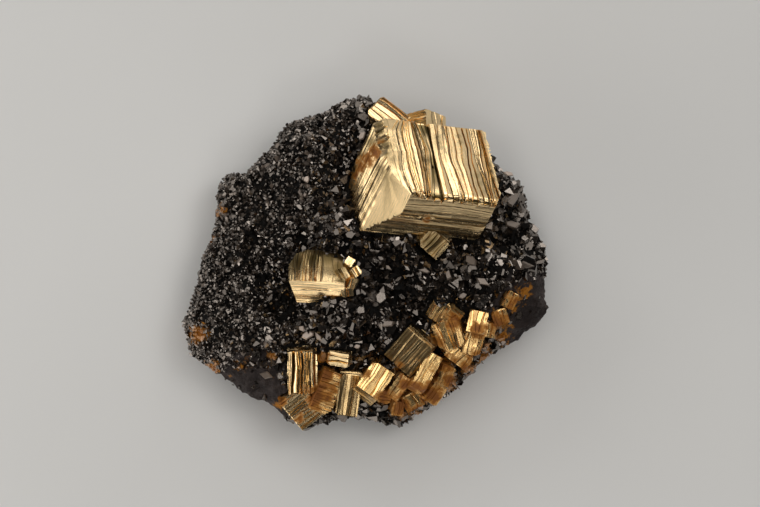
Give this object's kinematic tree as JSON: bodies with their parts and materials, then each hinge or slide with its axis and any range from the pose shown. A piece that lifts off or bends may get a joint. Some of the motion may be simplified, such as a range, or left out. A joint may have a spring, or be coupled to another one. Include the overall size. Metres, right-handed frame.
{
  "type": "pyrite specimen on black crystal matrix",
  "caption": "Mineral specimen for display: brassy pyrite cubes with ribbed faces, grown on a flat-backed lump of rock that is crusted with small black crystals.",
  "frame": {"origin": "middle of the flat back that the specimen lies on", "axes": "+Z out of the flat back, towards the viewer of the crystals; +X along the specimen's longest extent; +Y towards the end with the great cube"},
  "size_m": [0.0741, 0.0674, 0.04],
  "materials": {
    "black_crystal_rock": "near-black glassy crystals on dull dark rock, with rust spots",
    "brass_pyrite": "metallic pale brass, ribbed faces with bright crests and olive furrows",
    "amber_pyrite": "metallic brass stained amber and rust-orange",
    "brown_pyrite": "metallic brown-olive, fine ribs"
  },
  "bodies": {
    "root": {"black_matrix": "black_crystal_rock", "great_cube": "brass_pyrite", "upper_left_cube": "brass_pyrite", "upper_right_cube": "brass_pyrite", "under_cube": "brass_pyrite", "middle_crystal": "brass_pyrite", "middle_cubelets": "brass_pyrite", "corner_cube": "brass_pyrite", "tall_ribbed_cube": "brass_pyrite", "stepped_cube": "brass_pyrite", "bright_cube": "brass_pyrite", "tan_cube": "brass_pyrite", "amber_ribbed_cube": "amber_pyrite", "amber_plate": "amber_pyrite", "ridge_cubes": "amber_pyrite", "lower_cubelets": "amber_pyrite", "rusty_crust": "amber_pyrite", "right_tip_cubes": "amber_pyrite", "brown_ribbed_cube": "brown_pyrite", "shadow_cube": "brown_pyrite"}
  },
  "joints": []
}
